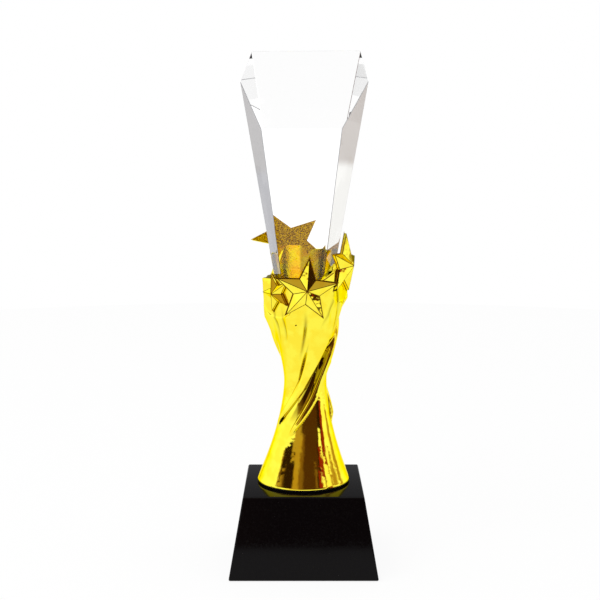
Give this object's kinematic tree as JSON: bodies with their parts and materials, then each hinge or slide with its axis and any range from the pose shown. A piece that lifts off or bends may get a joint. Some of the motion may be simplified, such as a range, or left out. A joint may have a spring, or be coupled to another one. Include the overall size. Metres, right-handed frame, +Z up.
{
  "type": "star trophy",
  "caption": "Award trophy: a clear sloped-top crystal column held in a twisted gold cup ringed with raised stars, on a black tapered square base.",
  "frame": {"origin": "on the surface the trophy stands on, at the middle of the underside of its base pad", "axes": "+Z up along the trophy; the front, where the largest star faces the viewer, is -Y; +X is the viewer's right"},
  "size_m": [0.0996, 0.1069, 0.3548],
  "materials": {
    "black_gloss_plastic": "moulded and polished, deep gloss black",
    "dark_fibreboard": "sawn fibreboard, unfinished",
    "zinc_plated_steel": "bright zinc plate",
    "brass": "machined",
    "black_rubber": "matt sheet rubber",
    "plated_gold": "mirror gold electroplate over cast resin",
    "clear_crystal": "polished optical glass with sharp facets"
  },
  "bodies": {
    "root": {"base_shell": "black_gloss_plastic", "base_core": "dark_fibreboard", "bottom_cover": "dark_fibreboard", "ballast_plate": "zinc_plated_steel", "cover_screw_1": "zinc_plated_steel", "cover_screw_2": "zinc_plated_steel", "cover_screw_3": "zinc_plated_steel", "cover_screw_4": "zinc_plated_steel", "tie_rod": "zinc_plated_steel", "hex_nut": "zinc_plated_steel", "lock_washer": "zinc_plated_steel", "flat_washer": "zinc_plated_steel", "threaded_insert": "brass", "base_pad": "black_rubber", "foot_gasket": "black_rubber", "crystal_pad": "black_rubber", "body_casting": "plated_gold", "star_left": "plated_gold", "star_front": "plated_gold", "star_right": "plated_gold", "star_back_right": "plated_gold", "star_back": "plated_gold", "crystal_collar": "plated_gold", "crystal_column": "clear_crystal"}
  },
  "joints": []
}
